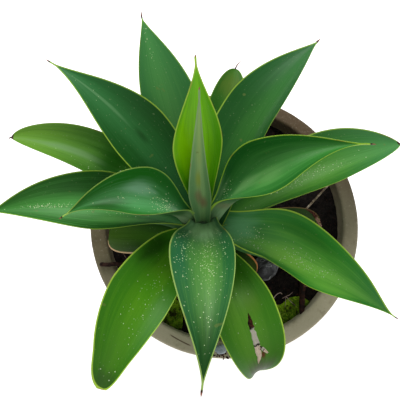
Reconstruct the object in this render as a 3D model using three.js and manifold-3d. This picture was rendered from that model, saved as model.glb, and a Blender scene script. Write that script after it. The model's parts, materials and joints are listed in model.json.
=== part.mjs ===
// A potted agave: a soft-leaved rosette on a short leaning stem, planted in a round stone pot.
// Millimetres, +Z up. The origin is the middle of the pot's flat underside. +Y is the far side of
// the plant as it is usually looked at, +X its right, and azimuths run from +X towards +Y.
import * as THREE from "three";
import { mergeVertices } from "three/addons/utils/BufferGeometryUtils.js";
import Module from "manifold-3d";

// ---------------------------------------------------------------- driving dimensions

const GAP = 0.35; // clearance between two pieces that touch

const POT = {
  height: 300,
  rimRadius: 210, // outside of the rim band
  rimWidth: 24, // flat top of the rim
  rimDepth: 42, // height of the rim band outside
  footRadius: 152, // outside, where the pot stands
  neckRadius: 200, // outside, just under the rim band
  wall: 18,
  floor: 24,
  edge: 5, // rounding of the rim and the foot
  underRim: 6, // height of the slope below the rim band
  bandTaper: 1, // how much narrower the band is at its lower edge
  flare: 2, // how much the inside widens over the height of the rim band
  drainRadius: 9,
  drainCircle: 70, // the drain holes' distance from the middle
  drainCount: 3,
  drainSegments: 16,
  segments: 48,
};

const SOIL = {
  level: 275,
  bump: 2.5, // height of the surface's waves
  waveX: 23, // their lengths
  waveY: 19,
  ripple: 11,
  startX: 1.3, // where they start, in radians
  startY: -0.6,
  mound: 6, // how much higher it is round the stem
  moundRadius: 60,
  rings: 5, // rings of points over the surface
  core: 30, // radius of the innermost ring underneath
};

const STEM = {
  x: -33.5, // the stem's axis at the crown
  y: -28,
  crown: 380, // height of the highest leaf bases
  lean: THREE.MathUtils.degToRad(8), // towards +Y as it rises
  segments: 20,
};

// The stem's radius at heights measured from the crown.
const STEM_PROFILE = [
  [0, -145],
  [17, -143],
  [25, -125],
  [25, -80],
  [23, -45],
  [19, -18],
  [14, -2],
  [8, 4],
  [0, 6],
];

// Every leaf follows one midrib: it leaves the stem at a height and a reach from the axis, sets out
// at an azimuth and a rise, and droops and sweeps sideways on its way to the tip.
//   az, rise, droop, sweep, rollBase, roll   degrees
//   bend                                     how late the droop comes (1 is even)
//   length, width, height, reach             millimetres
//   widest                                   where along the leaf it is widest, 0 to 1
//   belly, point                             exponents of the outline beyond there
//   neck                                     width at the base, as a share of the full width
//   cup, clasp                               channel of the blade, and the base's extra curl
//   skew                                     how much wider the left half is than the right
const LEAF_FIELDS = [
  "name", "az", "rise", "droop", "bend", "sweep", "length", "width", "widest", "belly", "point",
  "neck", "cup", "clasp", "rollBase", "roll", "skew", "height", "reach",
];
// From the crown outwards, which is also the order in which the bases wrap round the stem.
const LEAF_TABLE = [
  ["spear_leaf", 98, 75, 3, 1, -10, 244, 28, 0.3, 1.2, 1.2, 0.75, 0.35, 0.5, 0, -14, 0.1, 379, 4],
  ["upright_leaf", 93, 69, -1, 1, 4, 260, 57, 0.56, 1.8, 1.7, 0.38, 0.17, 0.5, 4, 11, 0.14, 377, 12],
  ["upper_west_leaf", 160, 75, 91, 0.8, 50, 192, 86, 0.45, 1.7, 1.8, 0.27, 0.9, 0.6, 59, 12, 0.15, 373, 21],
  ["upper_east_leaf", 40, 67, 64, 0.7, -43, 244, 91, 0.46, 1.6, 2, 0.26, 0.9, 0.5, -67, -5, -0.15, 368, 16],
  ["south_leaf", 277, 85, 82, 0.9, -15, 259, 76, 0.44, 2, 1.6, 0.5, 0.43, 0.5, -4, 2, -0.16, 363, 9],
  ["northwest_leaf", 125, 50, 42, 1, 26, 292, 81, 0.51, 1.8, 1.7, 0.54, 0.29, 0.5, -1, 8, -0.03, 358, 15],
  ["northeast_leaf", 61, 53, 53, 0.8, -10, 295, 92, 0.58, 2, 1.2, 0.55, 0.37, 0.5, 3, -40, 0.31, 354, 13],
  ["southeast_leaf", 339, 39, 69, 0.5, -7, 295, 88, 0.35, 1.7, 1.6, 0.69, 0.9, 0.2, -35, 7, 0.29, 350, 20],
  ["west_leaf", 166, 43, 46, 0.8, 28, 278, 81, 0.51, 1.7, 1.1, 0.46, 0.48, 0.5, 55, 0, -0.05, 343, 15],
  ["north_leaf", 109, 43, 30, 1, -4, 298, 80, 0.54, 2.1, 1.3, 0.55, 0.3, 0.5, 0, 17, -0.11, 338, 15],
  ["southwest_leaf", 231, 58, 64, 1.1, 20, 258, 78, 0.6, 1.5, 0.75, 0.63, 0.32, 0.5, 0, -13, -0.28, 334, 10],
  ["east_leaf", 27, 15, 26, 1, -7, 320, 94, 0.57, 1.9, 0.8, 0.51, 0.58, 0.6, -38, -22, 0.18, 333, 16],
  ["split_leaf", 294, 42, 140, 2.4, -9, 242, 84, 0.55, 2.6, 0.8, 0.49, 0.3, 0.5, -2, -15, 0.1, 322, 14],
  ["lower_west_leaf", 140, 28, 1, 1, 41, 292, 69, 0.58, 2, 0.6, 0.55, 0.44, 0.5, 0, 16, -0.15, 316, 14],
  ["lower_north_leaf", 79, 29, 28, 1, -1, 252, 62, 0.59, 2, 0.53, 0.55, 0.25, 0.5, 0, 8, 0.06, 312, 14],
  ["short_west_leaf", 178, 12, 18, 1, 0, 140, 56, 0.7, 3, 0.35, 0.6, 0.25, 0.5, 0, 0, 0, 303, 15],
  ["short_east_leaf", 7, 15, 24, 1, 0, 168, 60, 0.6, 2.6, 0.4, 0.6, 0.25, 0.5, 0, 0, 0, 302, 15],
  ["short_south_leaf", 330, 14, 30, 1, 0, 85, 50, 0.65, 3, 0.35, 0.65, 0.25, 0.5, 0, 0, 0, 298, 15],
];
const LEAVES = LEAF_TABLE.map((row) => Object.fromEntries(LEAF_FIELDS.map((k, i) => [k, row[i]])));

const BLADE = {
  stations: 13, // cross-sections along a leaf
  steps: 6, // path steps between two of them
  across: 7, // points over the upper face
  under: 5, // points over the lower face
  underReach: 2 / 3, // how near the margins those points go, as a share of the half width
  tipThickness: 1.6,
  baseThickness: 9, // added at the base, where the leaf is fleshy
  fleshFade: 2.2, // how fast that flesh thins out
  marginThickness: 0.5,
  keel: 0.7, // exponent of the lower face's roundness
  tipWidth: 0.8, // half width left at the very tip
  fold: 0.6, // how much the cup narrows the blade, as a share of its angle
  claspEnd: 0.16, // where along the leaf the base's curl ends
  skewFull: 0.3, // where the skew is at its full value
  rollFull: 0.6, // where the roll is
  sweepBend: 1.3, // how late the sideways sweep comes
};
const SHARPEST = 0.4; // limits how far a sharp corner moves when an outline is widened

const MOSS = [
  { name: "moss_southeast", x: 92, y: -146, rx: 34, ry: 27, up: 7 },
  { name: "moss_southwest", x: -76, y: -146, rx: 22, ry: 30, up: 9 },
];
const CUSHION = {
  depth: 5, // below the soil's level
  edge: 1, // height of its rim
  dome: 2.4, // exponent of its profile
  ragged: 0.12, // how uneven its outline is
  frayed: 0.07,
  clearance: 3, // from the pot's wall
  segments: 18,
};

const STONES = [
  { name: "dark_stone", x: 64, y: -90, z: 281, size: [22, 18, 13], turn: 35, seed: 2 },
  { name: "pebble", x: -8, y: -196, z: 306.4, size: [9, 7, 6], turn: 10, seed: 5 },
];

// Twigs lie along points chosen by hand; `radius` is half their thickness.
const TWIGS = [
  {
    name: "rim_twig",
    radius: 3.5,
    points: [[-188, -77, 304.1], [-176, -78, 304.1], [-161, -77, 304], [-138, -80, 296], [-100, -84, 275]],
  },
  { name: "leaning_stick", radius: 5, points: [[116, -62, 276], [115, -100, 281], [106, -142, 289]] },
  { name: "pale_twig", radius: 1.3, points: [[126, 6, 274], [150, 31, 283], [174, 56, 296]] },
];
const LUMPS = 0.1; // how uneven a stone is, as a share of its size
const TWIG_SIDES = 8;
const TWIG_STEPS = 8;

const COLOURS = {
  pot: 0x7a705a,
  soil: 0x1d1712,
  stem: 0x6d6a45,
  leaf: 0x2f6b35,
  youngLeaf: 0x5d8a1e,
  spear: 0x6f8f68,
  moss: 0x4c5f1c,
  darkStone: 0x2b2b2d,
  pebble: 0x9aa2a8,
  bark: 0x3a2319,
  paleBark: 0x9c8674,
};

// ---------------------------------------------------------------- solids

const wasm = await Module();
wasm.setup();

// Gives a closed geometry as a solid that can be joined and cut.
function solid(geometry) {
  const bare = new THREE.BufferGeometry().setAttribute("position", geometry.getAttribute("position"));
  if (geometry.index) bare.setIndex(geometry.index);
  const merged = mergeVertices(bare, 1e-3);
  return new wasm.Manifold(
    new wasm.Mesh({
      numProp: 3,
      vertProperties: new Float32Array(merged.attributes.position.array),
      triVerts: new Uint32Array(merged.index.array),
    }),
  );
}

function geometryOf(shape) {
  const { vertProperties, triVerts } = shape.getMesh();
  return new THREE.BufferGeometry()
    .setAttribute("position", new THREE.BufferAttribute(new Float32Array(vertProperties), 3))
    .setIndex(new THREE.BufferAttribute(new Uint32Array(triVerts), 1));
}

// A skin over rings of points, its four-sided patches split along their shorter diagonals. It is
// closed at each end by a strip that zigzags from one side of the ring to the other. A ring has an
// even number of points.
function loft(rings) {
  const n = rings[0].length;
  const points = rings.flat();
  const index = [];
  for (let i = 0; i + 1 < rings.length; i++) {
    for (let j = 0; j < n; j++) {
      const a = i * n + j;
      const b = i * n + ((j + 1) % n);
      const across = points[b].distanceTo(points[a + n]);
      if (across < points[a].distanceTo(points[b + n])) index.push(a, a + n, b, b, a + n, b + n);
      else index.push(a, a + n, b + n, a, b + n, b);
    }
  }
  const end = (rings.length - 1) * n;
  const cap = (i, j, k) => index.push(i, j, k, end + k, end + j, end + i);
  cap(0, 1, n - 1);
  for (let i = 1; i < n / 2 - 1; i++) {
    cap(n - i, i, i + 1);
    cap(n - i, i + 1, n - i - 1);
  }
  cap(n / 2 + 1, n / 2 - 1, n / 2);
  return new THREE.BufferGeometry()
    .setAttribute("position", new THREE.Float32BufferAttribute(points.flatMap((p) => p.toArray()), 3))
    .setIndex(index);
}

// Turns a profile of [radius, height] points round the Z axis.
function turned(profile, segments) {
  const geometry = new THREE.LatheGeometry(profile.map(([r, z]) => new THREE.Vector2(r, z)), segments);
  return geometry.rotateX(Math.PI / 2);
}

const radians = THREE.MathUtils.degToRad;
const clamp = THREE.MathUtils.clamp;
const smooth = (u) => THREE.MathUtils.smoothstep(u, 0, 1);

// ---------------------------------------------------------------- pot and soil

// The inside radius of the pot at a height.
function potInside(z) {
  const bandBottom = POT.height - POT.rimDepth;
  const neckInside = POT.rimRadius - POT.rimWidth - POT.flare;
  const footInside = POT.footRadius - POT.wall;
  const up = clamp((z - POT.floor) / (bandBottom - POT.floor), 0, 1);
  return footInside + (neckInside - footInside) * up + POT.flare * smooth((z - bandBottom) / POT.rimDepth);
}

// Points of a quarter round of radius POT.edge about [r, z], from one angle to another, in degrees.
function quarter(r, z, from, to, steps = 3) {
  return Array.from({ length: steps + 1 }, (_, i) => {
    const a = radians(from + ((to - from) * i) / steps);
    return [r + POT.edge * Math.cos(a), z + POT.edge * Math.sin(a)];
  });
}

function potShape() {
  const { height, rimRadius, rimWidth, edge } = POT;
  const bandBottom = height - POT.rimDepth;
  const outline = [
    [0, 0],
    ...quarter(POT.footRadius - edge, edge, -90, 0),
    [POT.neckRadius, bandBottom - POT.underRim],
    [rimRadius - POT.bandTaper, bandBottom],
    ...quarter(rimRadius - edge, height - edge, 0, 90),
    ...quarter(rimRadius - rimWidth + edge, height - edge, 90, 180),
    [potInside(bandBottom), bandBottom],
    [potInside(POT.floor), POT.floor],
    [0, POT.floor],
  ];
  let pot = solid(turned(outline, POT.segments));
  for (let i = 0; i < POT.drainCount; i++) {
    const angle = radians(90 + (360 * i) / POT.drainCount);
    const length = 3 * POT.floor;
    const hole = new THREE.CylinderGeometry(POT.drainRadius, POT.drainRadius, length, POT.drainSegments);
    hole.rotateX(Math.PI / 2);
    hole.translate(POT.drainCircle * Math.cos(angle), POT.drainCircle * Math.sin(angle), 0);
    pot = pot.subtract(solid(hole));
  }
  return pot;
}

// The soil's surface is gently uneven, and a little higher round the stem.
function soilHeight(x, y) {
  const swell = Math.sin(x / SOIL.waveX + SOIL.startX) * Math.cos(y / SOIL.waveY + SOIL.startY);
  const waves = swell + Math.sin((x + y) / SOIL.ripple) / 2;
  const away = Math.hypot(x - STEM.x, y - STEM.y) / SOIL.moundRadius;
  const mound = SOIL.mound * Math.exp(-(away ** 2) / 2);
  return SOIL.level + SOIL.bump * waves + mound;
}

function soilShape() {
  const wallAt = (z) => potInside(z) - GAP;
  const ring = (radius, height) =>
    Array.from({ length: POT.segments }, (_, j) => {
      const a = (-2 * Math.PI * j) / POT.segments;
      const x = radius * Math.cos(a);
      const y = radius * Math.sin(a);
      return new THREE.Vector3(x, y, height ?? soilHeight(x, y));
    });
  const bottom = POT.floor + GAP;
  const shoulder = POT.height - POT.rimDepth;
  const rings = [ring(SOIL.core, bottom), ring(wallAt(bottom), bottom), ring(wallAt(shoulder), shoulder)];
  for (let i = SOIL.rings; i > 0; i--) rings.push(ring((wallAt(SOIL.level) * i) / SOIL.rings));
  return solid(loft(rings));
}

// ---------------------------------------------------------------- stem and leaves

function stemShape(grow = 0) {
  const profile = STEM_PROFILE.map(([r, z]) => [r > 0 ? r + grow : 0, z + (z > 0 ? grow : 0)]);
  profile[0][1] -= grow;
  const stem = turned(profile, STEM.segments).rotateX(-STEM.lean);
  return solid(stem.translate(STEM.x, STEM.y, STEM.crown));
}

function stemAxis(z) {
  return new THREE.Vector3(STEM.x, STEM.y + (z - STEM.crown) * Math.tan(STEM.lean), z);
}

// Half the leaf's width at s, from 0 at the base to 1 at the tip.
function halfWidth(leaf, s) {
  const base = leaf.neck + (1 - leaf.neck) * smooth(s / leaf.widest);
  const beyond = clamp((s - leaf.widest) / (1 - leaf.widest), 0, 1);
  const share = s < leaf.widest ? base : (1 - beyond ** leaf.belly) ** leaf.point;
  return Math.max((leaf.width / 2) * share, BLADE.tipWidth);
}

// The midrib's points and cross-section directions at every station.
function midrib(leaf) {
  const steps = (BLADE.stations - 1) * BLADE.steps;
  const heading = (s) => {
    const rise = radians(leaf.rise - leaf.droop * s ** leaf.bend);
    const az = radians(leaf.az + leaf.sweep * s ** BLADE.sweepBend);
    const level = new THREE.Vector3(Math.cos(az), Math.sin(az), 0);
    return { az, along: level.multiplyScalar(Math.cos(rise)).add(new THREE.Vector3(0, 0, Math.sin(rise))) };
  };
  const start = radians(leaf.az);
  const point = stemAxis(leaf.height);
  point.add(new THREE.Vector3(Math.cos(start), Math.sin(start), 0).multiplyScalar(leaf.reach));
  const stations = [];
  for (let i = 0; i <= steps; i++) {
    const s = i / steps;
    const { az, along } = heading(s);
    if (i > 0) {
      const step = heading((i - 1) / steps).along.add(along).multiplyScalar(leaf.length / steps / 2);
      point.add(step);
    }
    if (i % BLADE.steps === 0) {
      const across = new THREE.Vector3(-Math.sin(az), Math.cos(az), 0);
      const upper = new THREE.Vector3().crossVectors(along, across);
      const roll = radians(leaf.rollBase + (leaf.roll - leaf.rollBase) * smooth(s / BLADE.rollFull));
      stations.push({
        s,
        along,
        point: point.clone(),
        side: across.clone().multiplyScalar(Math.cos(roll)).addScaledVector(upper, Math.sin(roll)),
        up: upper.clone().multiplyScalar(Math.cos(roll)).addScaledVector(across, -Math.sin(roll)),
      });
    }
  }
  return stations;
}

// Moves a closed outline of [x, y] points outwards by `grow`, with its corners kept near that distance.
function widened(outline, grow) {
  const n = outline.length;
  const normal = (i) => {
    const [ax, ay] = outline[(i + n) % n];
    const [bx, by] = outline[(i + 1) % n];
    const d = Math.hypot(bx - ax, by - ay);
    return [(ay - by) / d, (bx - ax) / d];
  };
  return outline.map(([x, y], i) => {
    const [ux, uy] = normal(i - 1);
    const [vx, vy] = normal(i);
    const scale = grow / Math.max(1 + ux * vx + uy * vy, SHARPEST);
    return [x + (ux + vx) * scale, y + (uy + vy) * scale];
  });
}

// One cross-section: over the channelled upper face, then back along the lower one.
function section(leaf, station, grow) {
  const { s, point, side, up } = station;
  const cup = leaf.cup + leaf.clasp * Math.max(1 - s / BLADE.claspEnd, 0) ** 2;
  const flesh = BLADE.tipThickness + BLADE.baseThickness * (1 - s) ** BLADE.fleshFade;
  const place = (v, drop) => {
    const half = halfWidth(leaf, s) * (1 + leaf.skew * Math.sign(v) * smooth(s / BLADE.skewFull));
    const curl = cup * Math.abs(v);
    return [half * v * Math.cos(curl * BLADE.fold), half * Math.abs(v) * Math.sin(curl) - drop];
  };
  const upper = Array.from({ length: BLADE.across }, (_, j) => place(-1 + (2 * j) / (BLADE.across - 1), 0));
  const lower = Array.from({ length: BLADE.under }, (_, j) => {
    const v = BLADE.underReach * (1 - (2 * j) / (BLADE.under - 1));
    return place(v, flesh * (1 - v * v) ** BLADE.keel + BLADE.marginThickness);
  });
  const outline = widened([...upper, ...lower], grow);
  return outline.map(([x, y]) => point.clone().addScaledVector(side, x).addScaledVector(up, y));
}

function leafShape(leaf, grow = 0) {
  const stations = midrib(leaf);
  const rings = stations.map((station) => section(leaf, station, grow));
  if (grow > 0) {
    const past = (i, distance) => {
      const { along } = stations.at(i);
      return rings.at(i).map((p) => p.clone().addScaledVector(along, distance));
    };
    rings.splice(0, 0, past(0, -grow));
    rings.push(past(-1, grow));
  }
  return solid(loft(rings));
}

// Each leaf is fitted round the stem and round the leaves nearer the crown, as their bases wrap.
function leafShapes(stem) {
  const cutters = [stem];
  return LEAVES.map((leaf) => {
    let shape = leafShape(leaf);
    for (const cutter of cutters) shape = shape.subtract(cutter);
    const bodies = shape.decompose().sort((a, b) => b.volume() - a.volume());
    cutters.push(leafShape(leaf, GAP));
    return { name: leaf.name, shape: bodies[0] };
  });
}

// ---------------------------------------------------------------- what lies on the soil

// A low uneven cushion of moss, kept inside the pot's wall.
function mossShape(patch, grow = 0) {
  const ring = (share, rise) =>
    Array.from({ length: CUSHION.segments }, (_, j) => {
      const a = (-2 * Math.PI * j) / CUSHION.segments;
      const ragged = 1 + CUSHION.ragged * Math.sin(3 * a + patch.x) + CUSHION.frayed * Math.sin(5 * a);
      const x = patch.x + (patch.rx * ragged * share + grow) * Math.cos(a);
      const y = patch.y + (patch.ry * ragged * share + grow) * Math.sin(a);
      return new THREE.Vector3(x, y, rise);
    });
  const top = (share) => SOIL.level + patch.up * (1 - share ** CUSHION.dome) + CUSHION.edge + grow;
  const bottom = SOIL.level - CUSHION.depth - grow;
  const shape = solid(loft([ring(1, bottom), ring(1, top(1)), ring(0.7, top(0.7)), ring(0.3, top(0.3))]));
  const inside = potInside(SOIL.level) - CUSHION.clearance + grow;
  const bore = new THREE.CylinderGeometry(inside, inside, 2 * POT.height, POT.segments).rotateX(Math.PI / 2);
  return shape.intersect(solid(bore));
}

// A faceted stone; `seed` varies its bumps.
function stoneShape(stone, grow = 0) {
  const geometry = new THREE.IcosahedronGeometry(1, 1);
  const position = geometry.attributes.position;
  const v = new THREE.Vector3();
  for (let i = 0; i < position.count; i++) {
    v.fromBufferAttribute(position, i).normalize();
    const bump = 1 + LUMPS * (Math.sin(3 * v.x + stone.seed) + Math.cos(4 * v.y - 2 * v.z + stone.seed));
    const [a, b, c] = stone.size;
    position.setXYZ(i, v.x * (a * bump + grow), v.y * (b * bump + grow), v.z * (c * bump + grow));
  }
  return solid(geometry.rotateZ(radians(stone.turn)).translate(stone.x, stone.y, stone.z));
}

function twigShape(twig, grow = 0) {
  const path = new THREE.CatmullRomCurve3(twig.points.map((p) => new THREE.Vector3(...p)));
  const outline = new THREE.Shape();
  outline.absarc(0, 0, twig.radius + grow, 0, 2 * Math.PI, false);
  const options = { steps: TWIG_STEPS, curveSegments: TWIG_SIDES / 2, extrudePath: path };
  return solid(new THREE.ExtrudeGeometry(outline, options));
}

// ---------------------------------------------------------------- the potted plant

const plant = new THREE.Group();

function add(name, shape, colour, roughness = 0.8) {
  const material = new THREE.MeshStandardMaterial({ color: colour, roughness, metalness: 0 });
  const mesh = new THREE.Mesh(geometryOf(shape), material);
  mesh.name = name;
  plant.add(mesh);
}

const leafColours = { spear_leaf: COLOURS.spear, upright_leaf: COLOURS.youngLeaf };
const stoneColours = { dark_stone: COLOURS.darkStone, pebble: COLOURS.pebble };
const twigColours = { pale_twig: COLOURS.paleBark };

let soil = soilShape().subtract(stemShape(GAP));
for (const stone of STONES) soil = soil.subtract(stoneShape(stone, GAP));
for (const patch of MOSS) soil = soil.subtract(mossShape(patch, GAP));
for (const twig of TWIGS) soil = soil.subtract(twigShape(twig, GAP));

add("pot", potShape(), COLOURS.pot, 0.9);
add("soil", soil, COLOURS.soil, 1);
add("stem", stemShape(), COLOURS.stem, 0.9);
for (const { name, shape } of leafShapes(stemShape(GAP))) {
  add(name, shape, leafColours[name] ?? COLOURS.leaf, 0.45);
}
for (const patch of MOSS) {
  let moss = mossShape(patch);
  for (const twig of TWIGS) moss = moss.subtract(twigShape(twig, GAP));
  add(patch.name, moss, COLOURS.moss, 1);
}
for (const stone of STONES) add(stone.name, stoneShape(stone), stoneColours[stone.name], 0.7);
for (const twig of TWIGS) add(twig.name, twigShape(twig), twigColours[twig.name] ?? COLOURS.bark, 0.9);

export default plant;
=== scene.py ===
"""A potted agave: a soft-leaved rosette on a short leaning stem, planted in a round stone pot.

Metres, +Z up. The origin is the middle of the pot's underside, +Y is the far side of the plant in the
photograph and +X its right. Azimuths run from +X towards +Y.
"""

import json
import math
import random
from types import SimpleNamespace

import bmesh
import bpy
import numpy as np
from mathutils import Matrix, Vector, noise


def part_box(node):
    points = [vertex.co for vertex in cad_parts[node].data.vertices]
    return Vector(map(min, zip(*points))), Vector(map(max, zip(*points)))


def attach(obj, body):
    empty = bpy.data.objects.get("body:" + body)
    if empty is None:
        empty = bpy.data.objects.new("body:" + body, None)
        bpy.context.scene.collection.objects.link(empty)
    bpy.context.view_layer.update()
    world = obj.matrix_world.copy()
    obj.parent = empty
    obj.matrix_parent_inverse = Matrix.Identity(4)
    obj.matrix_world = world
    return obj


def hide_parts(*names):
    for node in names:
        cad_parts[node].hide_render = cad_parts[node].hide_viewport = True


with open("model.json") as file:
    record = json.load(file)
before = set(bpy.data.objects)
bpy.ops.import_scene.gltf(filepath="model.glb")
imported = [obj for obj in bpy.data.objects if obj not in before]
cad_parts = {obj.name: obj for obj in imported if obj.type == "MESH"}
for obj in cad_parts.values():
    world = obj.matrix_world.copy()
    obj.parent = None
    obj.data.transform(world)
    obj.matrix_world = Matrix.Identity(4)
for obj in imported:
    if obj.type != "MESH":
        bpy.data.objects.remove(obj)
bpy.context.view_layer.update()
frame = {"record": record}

MM = 0.001
BODY = "root"

# ---- sizes

_, POT_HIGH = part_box("pot")
POT = SimpleNamespace(
    height=POT_HIGH.z,
    rim_radius=POT_HIGH.x,
    rim_width=24 * MM,
    rim_depth=42 * MM,
    foot_radius=152 * MM,
    neck_radius=200 * MM,
    wall=18 * MM,
    floor=24 * MM,
    edge=5 * MM,
    under_rim=6 * MM,
    band_taper=1 * MM,
    flare=2 * MM,
    drain_radius=9 * MM,
    drain_circle=70 * MM,
    drain_count=3,
    segments=192,
    drain_sides=40,
    hub=3 * MM,  # the radius of the small faces in the middle of its underside and floor
)

SOIL = SimpleNamespace(
    level=275 * MM,
    bump=2.5 * MM,
    wave_x=23 * MM,
    wave_y=19 * MM,
    ripple=11 * MM,
    start_x=1.3,
    start_y=-0.6,
    mound=6 * MM,
    mound_radius=60 * MM,
    grain=3.2 * MM,
    clods=((90, 1), (220, 0.6), (480, 0.35)),  # clods per metre, and their share of the height
    edge=5 * MM,  # the strip along the pot's wall without crumbs
    clear=26 * MM,  # the radius round the stem without crumbs
    clear_y=-15 * MM,  # how far the middle of that lies from the stem's axis
    segments=200,
    rings=72,
    side_rings=6,
    inner=30 * MM,  # the radius of the bottom's innermost ring
    gap=0.3 * MM,  # to the pot's wall and floor
)

STEM = SimpleNamespace(
    x=-33.5 * MM,
    y=-28 * MM,
    crown=380 * MM,
    lean=math.radians(8),
    segments=48,
    rings=90,
    scars=0.8 * MM,  # how deep the old leaves' scars are
    fibres=0.6 * MM,
)
# The stem's radius at heights measured from the crown, in millimetres.
STEM_PROFILE = [(17, -143), (25, -125), (25, -80), (22, -45), (14, -28), (5, -22), (3, -18), (3, -4)]
STEM_SHOULDER = -22  # the height above which the leaves' bases close round the stem


def read_table(text):
    """The rows of a table. Its first row names the columns, and colours are RRGGBB codes after a #."""
    names, *rows = [line.split() for line in text.strip().split("\n")]
    read = [[word if word[0] == "#" or word[0].isalpha() else float(word) for word in row] for row in rows]
    return [SimpleNamespace(**dict(zip(names, row))) for row in read]


# The leaves from the crown outwards, as in the CAD part, with four of the lengths and one azimuth nearer
# the photograph's. Angles are in degrees and lengths in millimetres. A leaf's base aims at az and rise,
# droop and sweep turn it on the way to its tip, and bend is how late the droop sets in. Its width is full
# at the share `widest` of its length, and `neck` of that at its base; belly and point shape its outer part.
# cup and clasp fold it, roll_base and roll turn it about its length, and skew widens its left half and
# narrows its right. Its base is at `height` above the pot's underside and `reach` from the stem's axis.
LEAF_SHAPES = """
key az rise droop bend sweep length width widest belly point neck cup clasp roll_base roll skew height reach
spear 98 75 3 1 -10 244 28 0.3 1.2 1.2 0.75 0.35 0.5 0 -14 0.1 379 4
upright 93 69 -1 1 4 260 57 0.56 1.8 1.7 0.38 0.17 0.5 4 11 0.14 377 12
upper_west 160 75 91 0.8 50 192 86 0.45 1.7 1.8 0.27 0.9 0.6 59 12 0.15 373 21
upper_east 40 67 64 0.7 -43 244 91 0.46 1.6 2 0.26 0.9 0.5 -67 -5 -0.15 368 16
south 277 85 82 0.9 -15 259 76 0.44 2 1.6 0.5 0.43 0.5 -4 2 -0.16 363 9
northwest 125 50 42 1 26 292 81 0.51 1.8 1.7 0.54 0.29 0.5 -1 8 -0.03 358 15
northeast 61 53 53 0.8 -10 295 92 0.58 2 1.2 0.55 0.37 0.5 3 -40 0.31 354 13
southeast 339 39 69 0.5 -7 295 88 0.35 1.7 1.6 0.69 0.9 0.2 -35 7 0.29 350 20
west 166 43 46 0.8 28 278 81 0.51 1.7 1.1 0.46 0.48 0.5 55 0 -0.05 343 15
north 109 43 30 1 -4 298 80 0.54 2.1 1.3 0.55 0.3 0.5 0 17 -0.11 338 15
southwest 231 58 64 1.1 20 253 78 0.6 1.5 0.75 0.63 0.32 0.5 0 -13 -0.28 334 10
east 27 15 26 1 -7 320 94 0.57 1.9 0.8 0.51 0.58 0.6 -38 -22 0.18 333 16
split 294 42 140 2.4 -9 240 84 0.55 2.6 0.8 0.49 0.3 0.5 -2 -15 0.1 322 14
lower_west 140 28 1 1 41 292 69 0.58 2 0.6 0.55 0.44 0.5 0 16 -0.15 316 14
lower_north 79 29 28 1 -1 252 62 0.59 2 0.53 0.55 0.25 0.5 0 8 0.06 312 14
short_west 178 12 18 1 0 129 56 0.7 3 0.35 0.6 0.25 0.5 0 0 0 303 15
short_east 7 15 24 1 0 168 60 0.6 2.6 0.4 0.6 0.25 0.5 0 0 0 302 15
short_south 322 14 30 1 0 80 50 0.65 3 0.35 0.65 0.25 0.5 0 0 0 298 15
"""

# Each leaf's colours are those of its shaded sides, its lighter middle, its tip and its margin. The darker
# sides are painted shade, and the lighter middle is partly waxy bloom and partly a painted sheen along the
# channel.
# The upright leaf's bright yellow-green is partly a young leaf's colour and partly painted light shining
# through it. The bloom is how much blue-grey its base has, and the margin's width is in millimetres. Brown
# begins at brown_from along the leaf. The spine has a length in millimetres, and its end leans by shares of
# that length.
LEAF_LOOKS = """
key deep light tip bloom margin margin_strength margin_width brown_from spine lean_x lean_y lean_z
spear #6c9862 #94b878 #98bc58 0.3 #8cac74 0.95 1.5 1.02 5 0 0 0
upright #509c00 #8cd800 #6cbc00 0 #b0d648 0.95 1.5 1.02 3 0 0.1 0.2
upper_west #20701a #549a5c #2c6e24 0.5 #a8cc60 0.95 1.5 0.994 5 0 0 0
upper_east #1e6320 #4e9644 #35842c 0.4 #b0d648 0.95 1.5 0.994 6 0 0 0
south #2a6c38 #629c42 #143c18 0.8 #a8c868 0.8 1.5 0.994 5 0 0 0
northwest #124e12 #2c6a32 #3a8246 0.4 #b0d648 0.7 1.5 0.994 5 0 0.1 0
northeast #124e14 #346f2a #286c32 0.3 #b0d648 0.55 1.5 0.994 6 0.2 0 0
southeast #338a2a #7cc448 #3b8a44 0.6 #b0d648 0.95 1.5 0.994 6 0.2 0 0
west #1e5c14 #58a44e #387a2a 0.4 #b0d648 0.6 1.5 0.994 5 0 0 0
north #2f6f34 #48853e #4c934e 0.5 #b0d648 0.5 1.5 0.994 9 0.35 0 0.2
southwest #3a800e #589518 #366c10 0.1 #b0d648 0.95 1.5 1.05 1 0 0 0
east #2a6b18 #50902e #4c8d54 0.2 #b0d648 0.7 1.5 0.985 4 0 -0.4 -0.2
split #3c7e14 #5e9828 #386a08 0.1 #b0d648 0.95 1.5 0.994 1 0 0 0
lower_west #2a680f #5c9440 #74a434 0.15 #b0d648 0.35 1.5 0.99 9 0.5 -1.6 -0.4
lower_north #1e5c16 #2e6a26 #447a1e 0.3 #b0d648 0.4 1.5 0.994 14 0.7 0.2 0.3
short_west #1c4404 #396516 #47671c 0.1 #f8cc9c 0.95 2.4 0.994 1 0 0 0
short_east #1c4404 #2f5a16 #3c5c1a 0.1 #8a7040 0.95 1.5 0.994 1 0 0 0
short_south #1a3804 #2a4e10 #485c18 0.1 #f0a060 0.95 2.6 0.994 1 0 0 0
"""
LEAVES = read_table(LEAF_SHAPES)
for leaf, look in zip(LEAVES, read_table(LEAF_LOOKS)):
    vars(leaf).update(vars(look), name=leaf.key + "_leaf")
LEAF = {leaf.key: leaf for leaf in LEAVES}

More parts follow.
